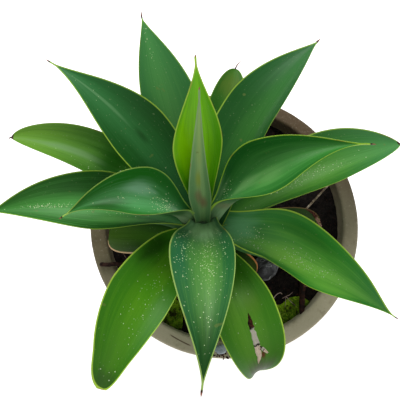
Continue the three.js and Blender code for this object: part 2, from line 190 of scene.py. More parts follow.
BLADE = SimpleNamespace(
    stations=85,  # cross-sections along a leaf
    across=33,  # points over the upper face
    under=17,  # points over the lower face
    tip_thickness=1.6 * MM,
    base_thickness=9 * MM,
    flesh_fade=2.2,
    margin_thickness=0.5 * MM,
    margin_bead=0.3 * MM,  # how far the margin's thickened edge stands out
    keel=0.7,
    tip_width=0.8 * MM,
    fold=0.6,
    clasp_end=0.16,
    skew_full=0.3,
    roll_full=0.6,
    sweep_bend=1.3,
    ridge=0.22 * MM,  # height of the lengthwise ridges
    wave=1.1 * MM,  # height of the margin's undulation
    clearance=0.2 * MM,  # between two leaves that wrap round each other
    crowding=1.5,  # how much closer together the cross-sections lie towards the tip
    spine_steps=8,
    spine_taper=0.9,
    spine_end=1.04,  # where the spine's point lies along the leaf's map
    map_edge=0.01,  # the empty border of the map for baking
)
SHARPEST = 0.4  # limits how far a sharp corner moves when an outline is widened

# How far a leaf's base is moved, in millimetres, to close up the crown, and how much of the leaf follows.
TUCKS = {
    "spear": ((0, -2, -9), 0.2),
    "south": ((0, 9, 14), 0.25),
    "northeast": ((0, 2, -9), 0.7),
    "east": ((0, 0, -16), 0.45),
}
NO_TUCK = ((0, 0, 0), 1)

# How much a leaf is widened: places along it, with the millimetres added there on its right half and on
# its left half, as seen from the base.
TRIMS = {
    "southeast": ((0, 0.06, 0.16, 0.26, 0.34, 0.48, 1), (0, 0, 4, -7, -6, 0, 0), (0,) * 7),
    "southwest": ((0, 0.85, 1), (0, 0, 7), (0, 0, 3)),
    "split": ((0, 0.58, 0.85, 1), (0, 0, -8, -8), (0,) * 4),
}

# ---- meshes


def smooth(u):
    u = np.clip(u, 0.0, 1.0)
    return u * u * (3 - 2 * u)


def add_object(name, mesh):
    piece = bpy.data.objects.new(name, mesh)
    bpy.context.scene.collection.objects.link(piece)
    return piece


def mesh_from(name, points, faces):
    mesh = bpy.data.meshes.new(name)
    mesh.from_pydata([tuple(p) for p in points], [], faces)
    mesh.update()
    return mesh


def joined(name, parts):
    """One mesh of several lots of points and faces."""
    points, faces = [], []
    for more, patches in parts:
        start = len(points)
        points += more
        faces += [tuple(start + i for i in patch) for patch in patches]
    return mesh_from(name, points, faces)


def add_piece(name, mesh, material, slot, *nodes, sharp=50, cutters=()):
    """Adds a visible piece, less the cutters' solids, that stands for the given CAD nodes. It is shaded
    smooth, with creases where faces meet at more than `sharp` degrees, unless that is None."""
    piece = add_object(name, mesh)
    if cutters:
        cut(piece, cutters)
    if sharp is not None:
        piece.data.shade_smooth()
        piece.data.set_sharp_from_angle(angle=math.radians(sharp))
    piece.data.materials.clear()
    piece.data.materials.append(material)
    if nodes:
        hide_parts(*nodes)
    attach(piece, BODY)


def circle(size):
    """The cosine and sine of `size` directions all round."""
    angles = [2 * math.pi * j / size for j in range(size)]
    return [(math.cos(a), math.sin(a)) for a in angles]


def tube_faces(rings, size):
    """The faces of a closed tube: quads between rings of `size` points each, then its two ends."""
    faces = []
    for i in range(0, (rings - 1) * size, size):
        for j in range(size):
            a, b = i + j, i + (j + 1) % size
            faces.append((a, b, b + size, a + size))
    last = (rings - 1) * size
    return faces + [tuple(range(size))[::-1], tuple(range(last, last + size))]


def largest_part(mesh):
    """Keeps the part of a mesh that has the most faces."""
    bm = bmesh.new()
    bm.from_mesh(mesh)
    left = set(bm.faces)
    parts = []
    while left:
        found = [left.pop()]
        for face in found:
            for edge in face.edges:
                for other in edge.link_faces:
                    if other in left:
                        left.remove(other)
                        found.append(other)
        parts.append(found)
    parts.sort(key=len)
    loose = [face for part in parts[:-1] for face in part]
    bmesh.ops.delete(bm, geom=loose, context="FACES")
    bm.to_mesh(mesh)
    bm.free()


def boxes_meet(*pieces):
    """Whether the boxes round two pieces overlap."""
    clouds = [np.array([v.co for v in piece.data.vertices]) for piece in pieces]
    (low_a, high_a), (low_b, high_b) = [(points.min(0), points.max(0)) for points in clouds]
    return bool(np.all(low_a < high_b) and np.all(low_b < high_a))


def cut(piece, cutters):
    """Takes the cutters' solids away from a piece, and keeps its largest part."""
    for cutter in cutters:
        if boxes_meet(piece, cutter):
            modifier = piece.modifiers.new("cut", "BOOLEAN")
            modifier.operation = "DIFFERENCE"
            modifier.solver = "MANIFOLD"
            modifier.object = cutter
    depsgraph = bpy.context.evaluated_depsgraph_get()
    done = bpy.data.meshes.new_from_object(piece.evaluated_get(depsgraph))
    piece.modifiers.clear()
    piece.data = done
    largest_part(done)


def remove(pieces):
    for piece in pieces:
        bpy.data.objects.remove(piece)


# ---- materials


def colour(code):
    """A #RRGGBB code as a linear colour."""
    channels = [int(code[i : i + 2], 16) / 255 for i in (1, 3, 5)]
    return tuple(c / 12.92 if c <= 0.04045 else ((c + 0.055) / 1.055) ** 2.4 for c in channels) + (1.0,)


class Value:
    """An output of one of a material's nodes. Arithmetic on it adds more nodes."""

    def __init__(self, paint, socket):
        self.paint = paint
        self.socket = socket

    def fade(self, start, end, high=1.0, low=0.0):
        """Goes smoothly from low at start to high at end."""
        inputs = {0: self, 1: start, 2: end, 3: low, 4: high}
        return self.paint.value("ShaderNodeMapRange", inputs, interpolation_type="SMOOTHSTEP", clamp=True)


for method, operation in {
    "__add__": "ADD",
    "__sub__": "SUBTRACT",
    "__mul__": "MULTIPLY",
    "__truediv__": "DIVIDE",
    "__pow__": "POWER",
    "__gt__": "GREATER_THAN",
    "__lt__": "LESS_THAN",
    "__abs__": "ABSOLUTE",
}.items():
    setattr(Value, method, lambda a, b=0.0, operation=operation: a.paint.math(operation, a, b))


class Paint:
    """A Principled material whose colour, its tone, is built up in layers."""

    def __init__(self, name, roughness, specular_ior_level=0.5, **sockets):
        self.material = bpy.data.materials.new(name)
        self.material.use_nodes = True
        self.tree = self.material.node_tree
        self.shader = self.tree.nodes["Principled BSDF"]
        sockets.update(roughness=roughness, specular_ior_level=specular_ior_level)
        for socket, value in sockets.items():
            self.shader.inputs[socket.replace("_", " ").title().replace("Ior", "IOR")].default_value = value
        self.place = self.value("ShaderNodeTexCoord", output="Object")
        self.tone = None

    def node(self, kind, inputs=(), **settings):
        """Adds a node. Each input is a number, a #RRGGBB code or a Value."""
        made = self.tree.nodes.new(kind)
        for key, value in settings.items():
            setattr(made, key, value)
        for key, value in dict(inputs).items():
            if isinstance(value, Value):
                self.tree.links.new(value.socket, made.inputs[key])
            else:
                made.inputs[key].default_value = colour(value) if isinstance(value, str) else value
        return made

    def value(self, kind, inputs=(), output=0, **settings):
        return Value(self, self.node(kind, inputs, **settings).outputs[output])

    def math(self, operation, a, b=0.0):
        return self.value("ShaderNodeMath", {0: a, 1: b}, operation=operation)

    def mix(self, factor, a, b):
        return self.value("ShaderNodeMix", {0: factor, 6: a, 7: b}, 2, data_type="RGBA")

    def layer(self, tint, factor):
        """Lays a colour over the tone, as strongly as the factor says."""
        self.tone = self.mix(factor, self.tone, tint)

    def parts(self, vector):
        return [Value(self, socket) for socket in self.node("ShaderNodeSeparateXYZ", {0: vector}).outputs]

    def map(self, name):
        return self.parts(self.value("ShaderNodeUVMap", uv_map=name))

    def noise(self, scale, detail=3.0, rough=0.55, distortion=0.0, at=None):
        """Noise in the object's own coordinates, or in the ones given."""
        place = self.value("ShaderNodeCombineXYZ", enumerate(at)) if at else self.place
        inputs = {"Vector": place, "Scale": scale, "Detail": detail, "Roughness": rough}
        inputs["Distortion"] = distortion
        return self.value("ShaderNodeTexNoise", inputs)

    def connect(self, value, socket):
        self.tree.links.new(value.socket, self.shader.inputs[socket])

    def finish(self, height=None, distance=0.0, strength=1.0):
        """Connects the tone, and a bump where a height is given."""
        self.connect(self.tone, "Base Color")
        if height is not None:
            inputs = {"Height": height, "Distance": distance, "Strength": strength}
            self.connect(self.value("ShaderNodeBump", inputs), "Normal")
        return self.material


# ---- leaves

BLOOM_COLOUR = "#4a7c58"
UNDER_COLOUR = "#4b6a48"
DRY_MARGIN = "#a8803c"
SPINE_COLOUR = "#3a1c14"
SPINE_LIGHT = "#b06a50"
TIP_FADE = 0.004
MARGIN_SCALE = 10.0  # margin map units per metre
STREAK_SCALE = 34.0

# Marks on the leaves: the middle of each on the leaf's map, across (0 to 1 on the upper face, 1 to 2 on the
# lower) and along, then its half width and half length there. Some are painted light. The pale patches on the
# undersides of the upper west and upper east leaves near their bases, and the pale patch at the south leaf's
# base, lift the shade there. The pale lines along the middles of the northwest and lower west leaves are
# partly waxy bloom and partly a painted reflection of the sky. The upright leaf's bright patch is painted
# light shining through it.
MARKS = read_table("""
key x y half_x half_y tint strength
spear 0.42 0.2 0.3 0.09 #8a6250 0.7
spear 0.62 0.26 0.22 0.1 #86604c 0.6
spear 0.6 0.42 0.18 0.12 #93a03c 0.75
spear 0.55 0.62 0.3 0.2 #96a858 0.4
upper_west 0.3 0.48 0.17 0.16 #86b894 0.75
upper_west 0.55 0.2 0.3 0.1 #7c9c7c 0.6
upper_west 1.2 0.19 0.07 0.012 #10170a 0.9
upper_west 1.5 0.12 0.9 0.2 #a4c494 0.85
upper_east 1.5 0.14 0.9 0.2 #98bc8c 0.8
upper_east 1.8 0.2 0.3 0.06 #8c8060 0.5
south 0.6 0.05 0.3 0.008 #6b4432 0.7
south 0.5 0.11 0.6 0.22 #b0e0a4 0.92
south 0.14 0.45 0.16 0.24 #2c6c48 0.6
south 0.5 0.95 0.9 0.27 #124010 0.85
upper_west 0.68 0.7 0.34 0.22 #1c5014 0.85
lower_west 0.5 0.54 0.9 0.13 #185406 0.9
northwest 0.5 0.76 0.06 0.22 #6a9a68 0.5
northwest 0.46 0.5 0.07 0.07 #123c10 0.6
lower_west 0.47 0.76 0.13 0.22 #84ac78 0.5
upper_east 0.53 0.32 0.13 0.14 #78b068 0.7
southeast 0.7 0.1 0.4 0.12 #78c084 0.85
southeast 0.85 0.4 0.12 0.2 #24701c 0.6
southwest 0.45 0.52 0.2 0.12 #3d8a10 0.5
southwest 0.5 0.97 0.9 0.07 #2c4a1c 0.6
southwest 0.12 0.34 0.24 0.16 #183c04 0.75
split 0.7 0.5 0.2 0.1 #5c8a1a 0.45
split 0.5 0.9 0.6 0.14 #343c00 0.85
split 0.66 0.785 0.05 0.035 #5c2210 0.95
upper_east 0.43 0.47 0.16 0.13 #88c070 0.3
split 0.5 0.3 0.7 0.2 #265a00 0.75
west 0.78 0.36 0.15 0.2 #5c9c4c 0.6
west 0.24 0.6 0.2 0.25 #1c5014 0.55
upright 0.8 0.55 0.3 0.32 #9ce400 0.7
east 0.45 0.5 0.35 0.25 #5f9a3c 0.4
southeast 0.45 0.36 0.25 0.16 #88c44c 0.5
lower_north 0.5 0.88 0.6 0.12 #6a7c2c 0.45
southeast 0.2 0.6 0.2 0.2 #84c850 0.5
""")


def stem_axis(z):
    return np.array([STEM.x, STEM.y + (z - STEM.crown) * math.tan(STEM.lean), z])


def half_width(leaf, s):
    base = leaf.neck + (1 - leaf.neck) * smooth(s / leaf.widest)
    beyond = np.clip((s - leaf.widest) / (1 - leaf.widest), 0, 1)
    share = np.where(s < leaf.widest, base, (1 - beyond**leaf.belly) ** leaf.point)
    return np.maximum(leaf.width * MM / 2 * share, BLADE.tip_width)


def midrib(leaf, count=BLADE.stations):
    """Places along a leaf from base to tip: s, point, direction, and the section's side and up."""
    s = 1 - (1 - np.linspace(0, 1, count)) ** BLADE.crowding
    rise = np.radians(leaf.rise - leaf.droop * s**leaf.bend)
    az = np.radians(leaf.az + leaf.sweep * s**BLADE.sweep_bend)
    along = np.stack([np.cos(rise) * np.cos(az), np.cos(rise) * np.sin(az), np.sin(rise)], 1)
    first = math.radians(leaf.az)
    start = stem_axis(leaf.height * MM) + leaf.reach * MM * np.array([math.cos(first), math.sin(first), 0])
    steps = (along[1:] + along[:-1]) / 2 * leaf.length * MM * np.diff(s)[:, None]
    points = start + np.vstack([np.zeros(3), np.cumsum(steps, 0)])
    tuck, tuck_end = TUCKS.get(leaf.key, NO_TUCK)
    points += np.array(tuck) * MM * (np.clip(1 - s / tuck_end, 0, 1) ** 2)[:, None]
    across = np.stack([-np.sin(az), np.cos(az), np.zeros(count)], 1)
    upper = np.cross(along, across)
    roll = np.radians(leaf.roll_base + (leaf.roll - leaf.roll_base) * smooth(s / BLADE.roll_full))
    cos, sin = np.cos(roll)[:, None], np.sin(roll)[:, None]
    side = across * cos + upper * sin
    up = upper * cos - across * sin
    return SimpleNamespace(s=s, point=points, along=along, side=side, up=up)


def relief(leaf, s, v):
    """Small lengthwise ridges and a slow undulation of the margins."""
    seed = leaf.az * 0.37
    ridge = noise.noise(Vector((v * 7, s * 2.5, seed))) * BLADE.ridge * min(1.0, 8 * (1 - s))
    wave = noise.noise(Vector((seed, s * 6, 2.0 if v > 0 else 7.0))) * BLADE.wave
    return ridge + wave * v * v * min(1.0, 4 * s)


def trimmed(leaf, s, v):
    """How much is added to the half width of one side of a leaf."""
    if leaf.key not in TRIMS:
        return 0.0
    places, right, left = TRIMS[leaf.key]
    amounts = right if v < 0 else left
    i = min(int(np.searchsorted(places, s, "right")), len(places) - 1)
    share = smooth((s - places[i - 1]) / (places[i] - places[i - 1]))
    return (amounts[i - 1] * (1 - share) + amounts[i] * share) * MM


def section(leaf, s, v, drop):
    """A point of the cross-section: offsets to the side and up, for v from -1 to 1 across the blade."""
    cup = leaf.cup + leaf.clasp * max(1 - s / BLADE.clasp_end, 0) ** 2
    half = float(half_width(leaf, s)) * (1 + leaf.skew * np.sign(v) * smooth(s / BLADE.skew_full))
    half = max(half + trimmed(leaf, s, v), BLADE.tip_width / 2)
    curl = cup * abs(v)
    return half * v * math.cos(curl * BLADE.fold), half * abs(v) * math.sin(curl) - drop


def thickness(s, v):
    flesh = BLADE.tip_thickness + BLADE.base_thickness * (1 - s) ** BLADE.flesh_fade
    return flesh * max(1 - v * v, 0) ** BLADE.keel + BLADE.margin_thickness


def outline(leaf, s):
    """The closed cross-section at s, as (side, up) offsets, and where each point lies across."""
    upper = [(v, 0.0) for v in np.linspace(-1, 1, BLADE.across)]
    lower = [(v, thickness(s, v)) for v in np.linspace(0.97, -0.97, BLADE.under)]
    flat = [section(leaf, s, v, drop - relief(leaf, s, v)) for v, drop in upper + lower]
    bead = [(BLADE.across, 1, flat[BLADE.across - 1]), (len(flat) + 1, -1, flat[0])]
    for index, way, (x, y) in bead:
        flat.insert(index, (x + way * BLADE.margin_bead, y - BLADE.margin_thickness / 2))
    across = [(v + 1) / 2 for v, _ in upper] + [1.0] + [1 + (1 - v) / 2 for v, _ in lower] + [2.0]
    return np.array(flat), across


def widened(flat, grow):
    """A closed outline moved outwards by `grow`."""
    following = np.roll(flat, -1, 0) - flat
    following /= np.linalg.norm(following, axis=1)[:, None] + 1e-12
    normal = np.stack([-following[:, 1], following[:, 0]], 1)
    before = np.roll(normal, 1, 0)
    scale = grow / np.maximum(1 + (normal * before).sum(1), SHARPEST)
    return flat + (normal + before) * scale[:, None]


def spine_rings(leaf, path, last):
    """Rings that narrow from the leaf's end to the point of its spine, and how far along each lies."""
    lean = np.array([leaf.lean_x, leaf.lean_y, leaf.lean_z])
    middle = last.mean(0)
    shares = np.linspace(0, 1, BLADE.spine_steps + 1)[1:]
    rings = []
    for t in shares:
        way = path.along[-1] * t + lean * t * t
        rings.append(middle + (last - middle) * (1 - BLADE.spine_taper * t * t) + way * leaf.spine * MM)
    return rings, 1 + (BLADE.spine_end - 1) * shares


def leaf_rings(leaf, grow=0.0):
    """The leaf's cross-sections in space, where each lies along it, and where their points lie across."""
    path = midrib(leaf)
    rings = []
    for i, s in enumerate(path.s):
        flat, across = outline(leaf, s)
        if grow:
            flat = widened(flat, grow)
        rings.append(path.point[i] + flat[:, :1] * path.side[i] + flat[:, 1:] * path.up[i])
    if grow:
        rings.insert(0, rings[0] - grow * path.along[0])
        rings.append(rings[-1] + grow * path.along[-1])
        return np.array(rings), None, across
    spine, places = spine_rings(leaf, path, rings[-1])
    return np.array(rings + spine), np.concatenate([path.s, places]), across


def halved(face, points):
    """A four-sided face as two triangles, split along its shorter diagonal."""
    a, b, c, d = face
    if np.sum((points[a] - points[c]) ** 2) <= np.sum((points[b] - points[d]) ** 2):
        return (a, b, c), (a, c, d)
    return (a, b, d), (b, c, d)


def leaf_mesh(leaf, grow=0.0):
    """A leaf as one closed mesh. Its blade map holds the place across (the lower face from 1 to 2)
    and along, and its margin map the distance to the nearest margin."""
    rings, along, across = leaf_rings(leaf, grow)
    count, size = rings.shape[:2]
    points = rings.reshape(-1, 3)
    *quads, first, last = tube_faces(count, size)
    faces = [half for quad in quads for half in halved(quad, points)]
    mesh = mesh_from(leaf.name, points, faces + [first, last])
    if not grow:
        write_maps(mesh, leaf, along, across)
    return mesh


def write_maps(mesh, leaf, along, across):
    blade = mesh.uv_layers.new(name="blade")
    margin = mesh.uv_layers.new(name="margin")
    bake = mesh.uv_layers.new(name="OFBake")
    halves = half_width(leaf, np.minimum(along, 1))
    size = len(across)
    span = 1 - 2 * BLADE.map_edge
    for face in mesh.polygons:
        columns = [v % size for v in face.vertices]
        wraps = max(columns) == size - 1 and min(columns) == 0
        for loop, vertex, column in zip(face.loop_indices, face.vertices, columns):
            row = vertex // size
            x = 2.0 if wraps and column == 0 else across[column]
            lane = x % 1 if x < 2 else 1.0
            edge = halves[row] * (1 - abs(2 * lane - 1))
            blade.uv[loop].vector = (x, along[row])
            margin.uv[loop].vector = (edge * MARGIN_SCALE, x / 2)
            place = (x / 2, along[row] / BLADE.spine_end)
            bake.uv[loop].vector = [BLADE.map_edge + span * share for share in place]


def add_mark(paint, across, along, mark):
    """Adds one soft-edged mark to a leaf's tone."""
    away = ((across - mark.x) / mark.half_x) ** 2 + ((along - mark.y) / mark.half_y) ** 2
    ragged = paint.noise(9.0, 3.0, at=(across, along * 0.4))
    paint.layer(mark.tint, (paint.math("SQRT", away) + ragged * 0.9).fade(1.45, 0.6, mark.strength))


def leaf_paint(leaf):
    deep, light = leaf.deep, leaf.light
    paint = Paint(leaf.name, 0.42, 0.17)
    across, along, _ = paint.map("blade")
    edge, _, _ = paint.map("margin")
    lane = abs(paint.math("FRACT", across) * 2.0 - 1.0)
    seed = leaf.az * 0.11
    broad = paint.noise(2.2, at=(across * 3.0, along, seed))
    streak = paint.noise(STREAK_SCALE, 4.0, at=(across, along * 0.06, seed))
    fine = paint.noise(3 * STREAK_SCALE, at=(across, along * 0.02, seed + 3))
    # Painted shade on the sides of the blade, and a painted sheen, partly waxy bloom, along its middle.
    paint.tone = paint.mix((lane + broad * 0.7).fade(1.15, 0.35), deep, light)
    paint.layer(leaf.tip, along.fade(0.5, 1.0, 0.75))
    paint.layer(light, streak.fade(0.5, 0.72, 0.35))
    paint.layer(deep, streak.fade(0.46, 0.3, 0.35))
    paint.layer(deep, fine.fade(0.4, 0.75, 0.25))
    waxy = along.fade(0.5, 0.02, leaf.bloom) * broad.fade(0.3, 0.6, 1.0, 0.55)
    paint.layer(BLOOM_COLOUR, waxy)
    pale = paint.mix(streak.fade(0.35, 0.7, 0.5), UNDER_COLOUR, deep)
    paint.layer(pale, (across > 1.0) * 0.75)
    for mark in MARKS:
        if mark.key == leaf.key:
            add_mark(paint, across, along, mark)
    paint.layer("#8aa070", paint.noise(420.0, 1.0).fade(0.71, 0.76, 0.4))
    paint.layer("#6d7a3c", paint.noise(75.0, 2.0, 0.4).fade(0.72, 0.76, 0.45))
    border = leaf.margin_width * MM * MARGIN_SCALE
    dry = paint.noise(7.0, 2.0, at=(across, along, seed)).fade(0.62, 0.72)
    line = paint.mix(dry, leaf.margin, DRY_MARGIN)
    paint.layer(line, edge.fade(border, border / 2, leaf.margin_strength))
    paint.layer(SPINE_COLOUR, along.fade(leaf.brown_from, leaf.brown_from + TIP_FADE))
    paint.layer(SPINE_LIGHT, along.fade(1 + TIP_FADE, (1 + BLADE.spine_end) / 2, 0.7))
    paint.connect((waxy + streak * 0.5).fade(0.0, 1.2, 0.62, 0.36), "Roughness")
    return paint.finish(streak + fine * 0.4 + paint.noise(900.0) * 0.25, 0.5 * MM, 0.35)


def stem_mesh(grow=0.0):
    """The stem, ringed with the scars of old leaves."""
    radii, heights = zip(*STEM_PROFILE)
    top = STEM_SHOULDER if grow else heights[-1]
    tilt_cos, tilt_sin = math.cos(STEM.lean), math.sin(STEM.lean)
    points = []
    for height in np.linspace(heights[0] - grow / MM, top, STEM.rings):
        radius = np.interp(height, heights, radii) * MM + grow
        for cos, sin in circle(STEM.segments):
            scar = noise.noise(Vector((cos * 1.5, sin * 1.5, height * 0.16)))
            fibre = noise.noise(Vector((cos * 9, sin * 9, height * 0.05)))
            r = radius if grow else radius - (0.5 + 0.5 * scar) * STEM.scars - abs(fibre) * STEM.fibres
            x, y, z = r * cos, r * sin, height * MM
            y, z = y * tilt_cos + z * tilt_sin, z * tilt_cos - y * tilt_sin
            points.append((STEM.x + x, STEM.y + y, STEM.crown + z))
    return mesh_from("stem", points, tube_faces(STEM.rings, STEM.segments))


def stem_paint():
    paint = Paint("stem", 0.85)
    x, y, z = paint.parts(paint.place)
    fibre = paint.noise(420.0, 5.0, at=(x, y, z * 0.08))
    rings = paint.noise(180.0, 2.0, at=(x * 0.1, 0.0, z))
    paint.tone = paint.mix(fibre.fade(0.35, 0.7), "#7c7048", "#3e3320")
    paint.layer("#6f7644", rings.fade(0.45, 0.65, 0.8))
    paint.layer("#3c5a3c", z.fade(STEM.crown - 70 * MM, STEM.crown - 35 * MM))
    return paint.finish(fibre + rings, 0.8 * MM, 0.7)


def make_leaves():
    """The leaves and the stem, each cut to wrap round what is nearer the crown."""
    add_piece("stem_piece", stem_mesh(), stem_paint(), "stem", "stem")
    slots = {s["node"]: s["material_slot"] for s in frame["record"]["subparts"]}
    cutters = [add_object("cutter", stem_mesh(BLADE.clearance))]
    for leaf in LEAVES:
        name, slot = leaf.name, slots[leaf.name]
        add_piece(name + "_piece", leaf_mesh(leaf), leaf_paint(leaf), slot, name, cutters=cutters)
        cutters.append(add_object("cutter", leaf_mesh(leaf, BLADE.clearance)))
    remove(cutters)


# ---- what is on the leaves

# Clusters of water drops: the middle of each along and across its leaf, and its spread.
DROPS = read_table("""
key s v spread_s spread_v count
south 0.33 0.5 0.09 0.22 60
south 0.42 -0.6 0.14 0.22 130
south 0.45 0.0 0.1 0.16 120
south 0.62 0.1 0.14 0.4 45
southeast 0.18 0.25 0.05 0.2 80
southeast 0.44 0.1 0.09 0.14 130
east 0.5 0.1 0.13 0.1 130
west 0.42 0.1 0.08 0.2 60
west 0.73 0.12 0.07 0.06 90
upper_west 0.3 0.1 0.05 0.3 140
upper_west 0.45 0.0 0.12 0.3 45
southwest 0.5 0.1 0.2 0.3 110
split 0.4 0.0 0.14 0.35 25
north 0.86 0.1 0.07 0.25 18
lower_west 0.62 0.3 0.14 0.25 20
upper_east 0.2 0.4 0.07 0.25 30
northwest 0.7 0.0 0.2 0.3 8
""")
DROP_RADII = (0.35 * MM, 0.85 * MM)
DROP_RARITY = 2.5  # how rare the larger drops are
DROP_HEIGHTS = (0.5, 0.75)  # as shares of the radius
DROP_REACH = ((0.1, 0.96), (-0.88, 0.88))  # how far along and across a leaf they lie
DROP_SIDES = 10
DROP_RINGS = ((1.0, -0.15), (0.97, 0.3), (0.7, 0.8), (0.3, 1.0))  # shares of a drop's radius and height

# The torn and healed place on the split leaf: places along and across it, from the top down, with the
# crust's half widths in millimetres, evenly spaced. Then its fork, and the dried end of the short leaf.
WOUND = [(0.55, 0.23), (0.57, 0.22), (0.62, 0.18), (0.65, 0.18)]
WOUND += [(0.71, 0.18), (0.74, 0.17), (0.78, 0.18), (0.83, 0.1)]
WOUND_WIDTHS = (0.4, 1.2, 3.2, 3.6, 3.4, 4.0, 4.6, 4.4, 4.2, 3.2, 0.6)
WOUND_FORK = [(0.735, 0.22), (0.75, 0.32), (0.785, 0.46)]
FORK_WIDTHS = (2.4, 2.6, 2.4, 1.2)
DRY_END = [(0.88, 0.95), (0.945, 0.84), (0.978, 0.5), (0.988, 0.15), (0.988, -0.25), (0.98, -0.6)]
DRY_WIDTHS = (0.6, 2.6, 3.6, 3.0, 3.6, 0.8)
# Dead tissue: at first dark with brown clots, then pale, then flesh-coloured.
WOUND_COLOURS = ("#160c04", "#c4bfae", "#4a2414", "#e0ccb4")
DRY_COLOURS = ("#7a4a3c", "#b48a76", "#4a281c", "#c09a84")
# A crust's cross-section, as shares of its half width and height: two lips with a sunken middle, then
# its underside.
CRUST_LIPS = [(-1.0, -0.4), (-0.85, 0.5), (-0.5, 1.0), (-0.15, 0.3)]
CRUST_LIPS += [(0.15, 0.2), (0.5, 0.9), (0.8, 0.6), (1.0, -0.4)]
CRUST_UNDER = [(0.5, -0.6), (-0.5, -0.6)]
CRUST_STEPS = 70


class Face:
    """A leaf's upper face, for putting things on it."""

    def __init__(self, leaf):
        self.leaf = leaf
        self.path = midrib(leaf)

    def at(self, s, v):
        place = float(np.interp(s, self.path.s, np.arange(BLADE.stations)))
        i = min(int(place), BLADE.stations - 2)
        share = place - i
        kinds = (self.path.point, self.path.side, self.path.up)
        point, side, up = (rows[i] * (1 - share) + rows[i + 1] * share for rows in kinds)
        x, y = section(self.leaf, s, v, -relief(self.leaf, s, v))
        return point + x * side + y * up

    def frame(self, s, v, step=0.004):
        """A point of the face, with the directions along the leaf, across it and out of it."""
        along = self.at(s + step, v) - self.at(s - step, v)
        across = self.at(s, v + step) - self.at(s, v - step)
        along /= np.linalg.norm(along)
        across /= np.linalg.norm(across)
        out = np.cross(along, across)
        return self.at(s, v), along, across, out / np.linalg.norm(out)


def drop_rings(face, s, v, radius, height):
    """A flat dome of water standing on a leaf."""
    point, along, across, out = face.frame(s, v)
    return [
        point + radius * share * (cos * along + sin * across) + out * height * up
        for share, up in DROP_RINGS
        for cos, sin in circle(DROP_SIDES)
    ]


def make_drops():
    rng = random.Random(11)
    small, large = DROP_RADII
    parts = []
    for group in DROPS:
        face = Face(LEAF[group.key])
        for _ in range(int(group.count)):
            place = float(np.clip(rng.gauss(group.s, group.spread_s), *DROP_REACH[0]))
            lane = float(np.clip(rng.gauss(group.v, group.spread_v), *DROP_REACH[1]))
            radius = small + (large - small) * rng.random() ** DROP_RARITY
            points = drop_rings(face, place, lane, radius, radius * rng.uniform(*DROP_HEIGHTS))
            parts.append((points, tube_faces(len(DROP_RINGS), DROP_SIDES)))
    paint = Paint("water", 0.05, 0.8, ior=1.4, transmission_weight=0.3)
    # The drops' pale green-white colour is partly a painted highlight, standing in for glints of the sky on
    # them.
    paint.tone = paint.mix(paint.noise(300.0), "#c8f49c", "#f0ffd8")
    add_piece("water_drops", joined("drops", parts), paint.finish(), "water", sharp=80)


def crust_mesh(name, face, path, widths, height):
    """A crust along places on a leaf. Its map runs across and along."""
    places = np.linspace(0, len(path) - 1, CRUST_STEPS)
    s, v = (np.interp(places, range(len(path)), column) for column in zip(*path))
    width = np.interp(np.linspace(0, 1, CRUST_STEPS), np.linspace(0, 1, len(widths)), widths)
    frames = [face.frame(a, b) for a, b in zip(s, v)]
    ways = np.gradient(np.array([f[0] for f in frames]), axis=0)
    points = []
    for i, (point, _, _, out) in enumerate(frames):
        sideways = np.cross(out, ways[i])
        sideways /= np.linalg.norm(sideways)
        for j, (x, up) in enumerate(CRUST_LIPS + CRUST_UNDER):
            rough = noise.noise(Vector((i * 0.35, j * 1.7, width[i])))
            ragged = 1 + 0.4 * noise.noise(Vector((i * 0.22, math.copysign(5, x), 1.0)))
            lift = height * up * (1 + 0.7 * rough) if 0 < j < len(CRUST_LIPS) - 1 else height * up
            points.append(point + sideways * width[i] * MM * x * ragged + out * lift)
    size = len(CRUST_LIPS + CRUST_UNDER)
    mesh = mesh_from(name, points, [patch[::-1] for patch in tube_faces(CRUST_STEPS, size)])
    layer = mesh.uv_layers.new(name="crust")
    for polygon in mesh.polygons:
        for loop, vertex in zip(polygon.loop_indices, polygon.vertices):
            across = min(vertex % size / (len(CRUST_LIPS) - 1), 1.0)
            layer.uv[loop].vector = (across, vertex // size / (CRUST_STEPS - 1))
    return mesh


def crust_paint(name, codes):
    """Dead, corky tissue: dark at first, then pale, then flesh-coloured past a dark crease."""
    dark, pale, brown, flesh = codes
    paint = Paint(name, 0.8, 0.2)
    across, along, _ = paint.map("crust")
    patches = paint.noise(260.0, 4.0, 0.65)
    fibres = paint.noise(14.0, 4.0, at=(across * 6.0, along))
    shifted = along + (patches - 0.5) * 0.12
    clots = paint.mix(patches.fade(0.45, 0.6), dark, brown)
    paint.tone = paint.mix(shifted.fade(0.3, 0.36), clots, pale)
    paint.layer(flesh, shifted.fade(0.58, 0.66))
    paint.layer(dark, abs(shifted - 0.6).fade(0.035, 0.012, 0.95))
    paint.layer(brown, abs(across - 0.5).fade(0.4, 0.48, 0.8))
    paint.layer(brown, fibres.fade(0.52, 0.7, 0.55))
    return paint.finish(patches + fibres, 0.6 * MM, 0.8)


def make_dead_tissue():
    """The wound on the split leaf and the dried end of the short one beside it."""
    wound = crust_paint("wound", WOUND_COLOURS)
    dry = crust_paint("dry_end", DRY_COLOURS)
    for name, key, path, widths, height, material in (
        ("wound", "split", WOUND, WOUND_WIDTHS, 0.9 * MM, wound),
        ("wound_fork", "split", WOUND_FORK, FORK_WIDTHS, 0.9 * MM, wound),
        ("dry_end", "short_east", DRY_END, DRY_WIDTHS, 1.6 * MM, dry),
    ):
        mesh = crust_mesh(name, Face(LEAF[key]), path, widths, height)
        add_piece(name, mesh, material, "dry_plant", sharp=60)


# ---- pot


def pot_inside(z):
    band_bottom = POT.height - POT.rim_depth
    neck = POT.rim_radius - POT.rim_width - POT.flare
    foot = POT.foot_radius - POT.wall
    up = np.clip((z - POT.floor) / (band_bottom - POT.floor), 0, 1)
    return foot + (neck - foot) * up + POT.flare * smooth((z - band_bottom) / POT.rim_depth)


def quarter(r, z, start, end, steps=8):
    return [
        (r + POT.edge * math.cos(math.radians(a)), z + POT.edge * math.sin(math.radians(a)))
        for a in np.linspace(start, end, steps + 1)
    ]


